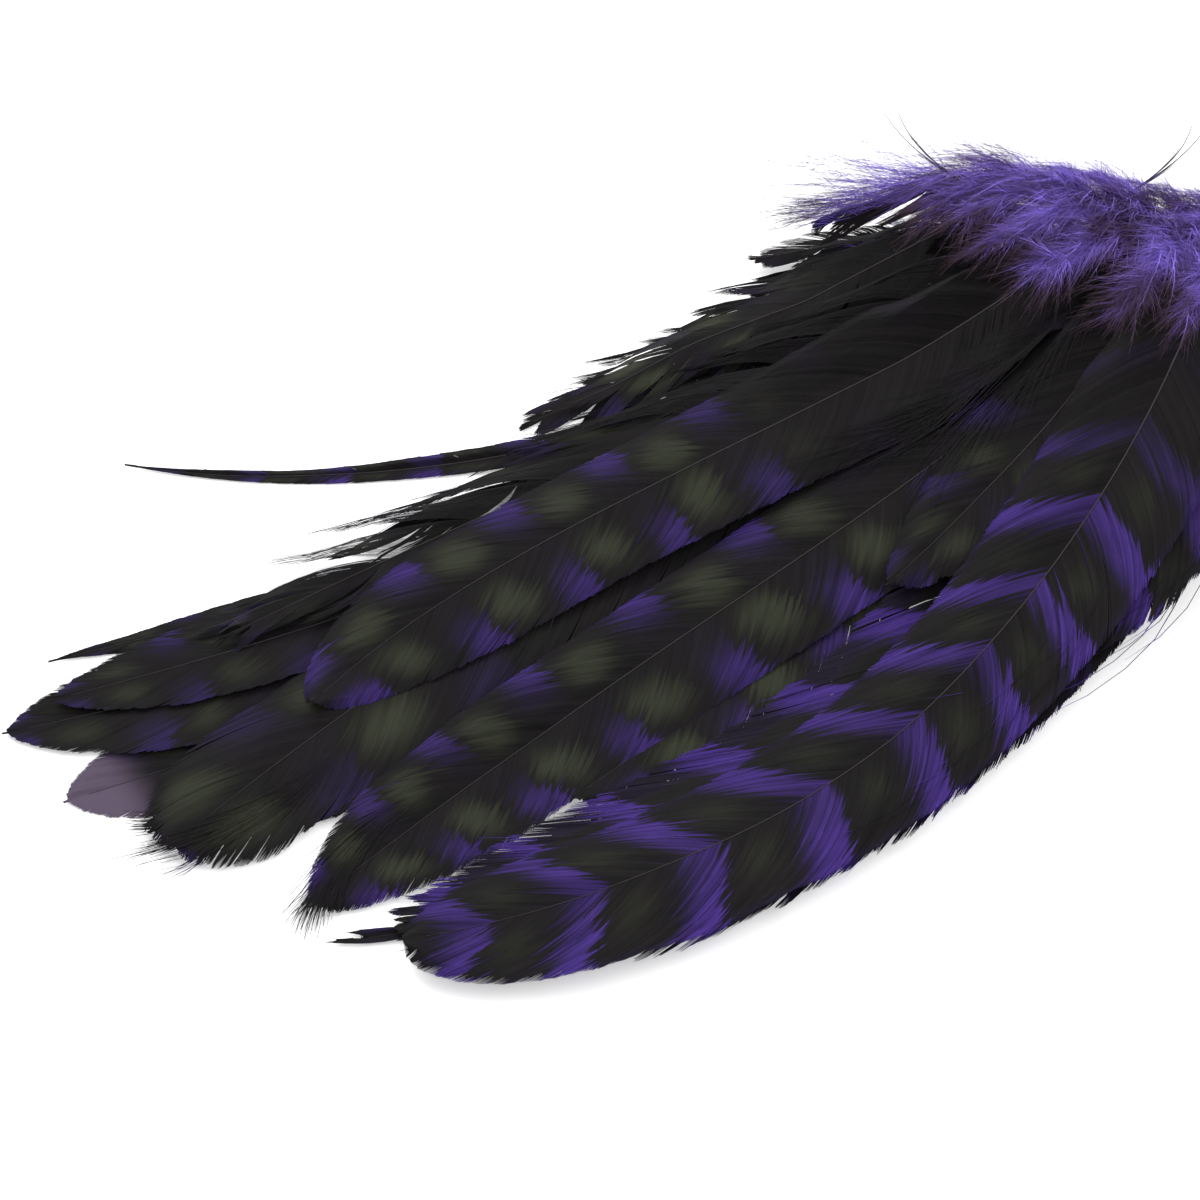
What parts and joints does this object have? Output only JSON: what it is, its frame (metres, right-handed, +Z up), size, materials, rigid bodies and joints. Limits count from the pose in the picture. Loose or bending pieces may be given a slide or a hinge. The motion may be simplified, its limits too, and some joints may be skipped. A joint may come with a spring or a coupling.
{
  "type": "strung bunch of schlappen feathers",
  "caption": "Fan of long barred feathers in black and violet, sewn together at the quills in stacked rows, lying flat with fluffy down at the strung end.",
  "frame": {"origin": "on the table, under the middle of the bunch's box", "axes": "+X towards the strung quill ends and along the longest side, +Y away from the viewer, +Z up"},
  "size_m": [0.2194, 0.1964, 0.0288],
  "materials": {
    "barred_vane": "satin",
    "violet_down": "matte",
    "cotton_thread": "matte"
  },
  "bodies": {
    "root": {"feather_01": "barred_vane", "feather_02": "barred_vane", "feather_03": "barred_vane", "feather_04": "barred_vane", "feather_05": "barred_vane", "feather_06": "barred_vane", "feather_07": "barred_vane", "feather_08": "barred_vane", "feather_09": "barred_vane", "feather_10": "barred_vane", "feather_11": "barred_vane", "feather_12": "barred_vane", "feather_13": "barred_vane", "feather_14": "barred_vane", "feather_15": "barred_vane", "feather_16": "barred_vane", "feather_17": "barred_vane", "feather_18": "barred_vane", "feather_19": "barred_vane", "feather_20": "barred_vane", "feather_21": "barred_vane", "feather_22": "barred_vane", "feather_23": "violet_down", "feather_24": "violet_down", "feather_25": "violet_down", "feather_26": "violet_down", "feather_27": "violet_down", "feather_28": "violet_down", "feather_29": "violet_down", "feather_30": "violet_down", "string": "cotton_thread"}
  },
  "joints": []
}
